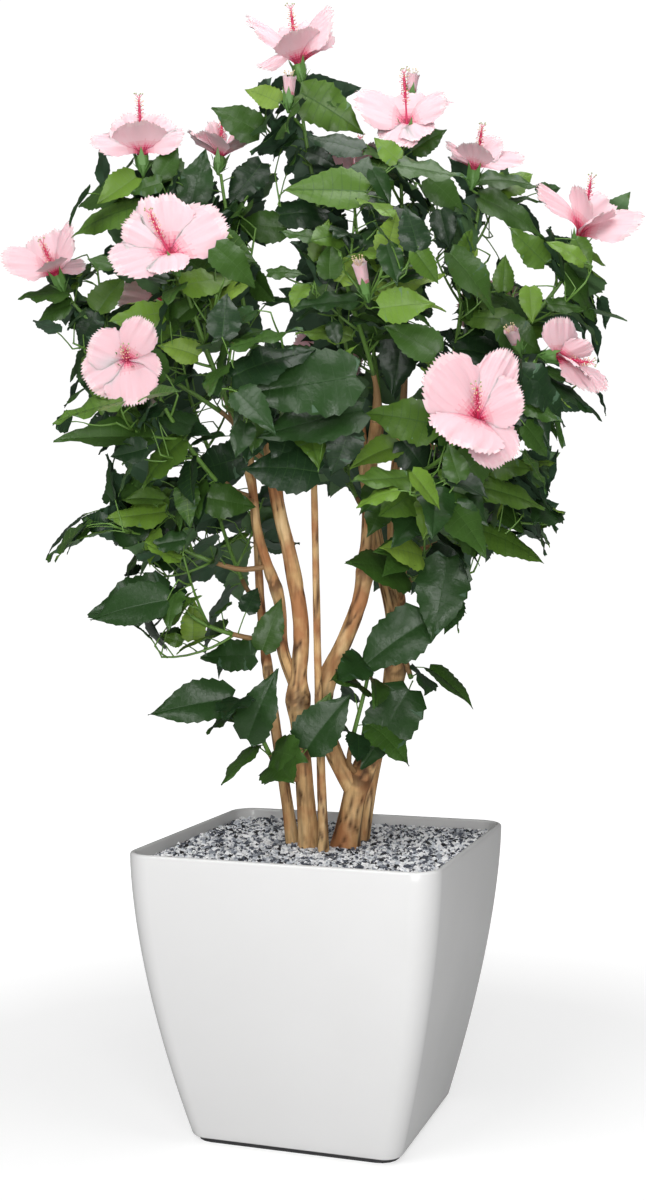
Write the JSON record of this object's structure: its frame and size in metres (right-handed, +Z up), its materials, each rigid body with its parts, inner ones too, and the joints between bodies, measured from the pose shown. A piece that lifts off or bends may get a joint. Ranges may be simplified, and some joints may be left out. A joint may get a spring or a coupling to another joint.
{
  "type": "artificial hibiscus shrub in a planter",
  "caption": "Artificial hibiscus shrub with pink blooms on bare wooden stems, in a square white planter filled with gravel.",
  "frame": {"origin": "centre of the planter's flat underside, which stands on the floor", "axes": "+Z up along the plant's height; -Y towards the planter's front side; +X to the right seen from the front"},
  "size_m": [0.8866, 0.7693, 1.5615],
  "materials": {
    "planter": "high gloss white",
    "planter_foot": "matt dark grey",
    "gravel": "loose black, grey and white chips",
    "wood": "bare, dry bark with cracks and knots",
    "foliage": "glossy printed leaves, matt pink petals"
  },
  "bodies": {
    "root": {"bough_centre": "wood", "bough_left": "wood", "bough_right": "wood", "foliage_back_centre": "foliage", "foliage_back_left": "foliage", "foliage_back_low_left": "foliage", "foliage_back_low_right": "foliage", "foliage_back_right": "foliage", "foliage_back_top": "foliage", "foliage_far_left": "foliage", "foliage_far_right": "foliage", "foliage_front_centre": "foliage", "foliage_front_upper": "foliage", "foliage_left_front": "foliage", "foliage_left_lower": "foliage", "foliage_left_upper": "foliage", "foliage_low_front": "foliage", "foliage_low_left": "foliage", "foliage_low_right": "foliage", "foliage_right_lower": "foliage", "foliage_right_side": "foliage", "foliage_right_upper": "foliage", "foliage_top": "foliage", "foliage_top_left": "foliage", "foliage_top_right": "foliage", "gravel": "gravel", "pot": "planter", "pot_foot": "planter_foot", "spray_centre": "foliage", "spray_left": "foliage", "spray_left_low": "foliage", "spray_right": "foliage", "stem_back": "wood", "stem_left": "wood", "stem_right": "wood", "stem_straight": "wood", "stem_thin_left": "wood"}
  },
  "joints": []
}
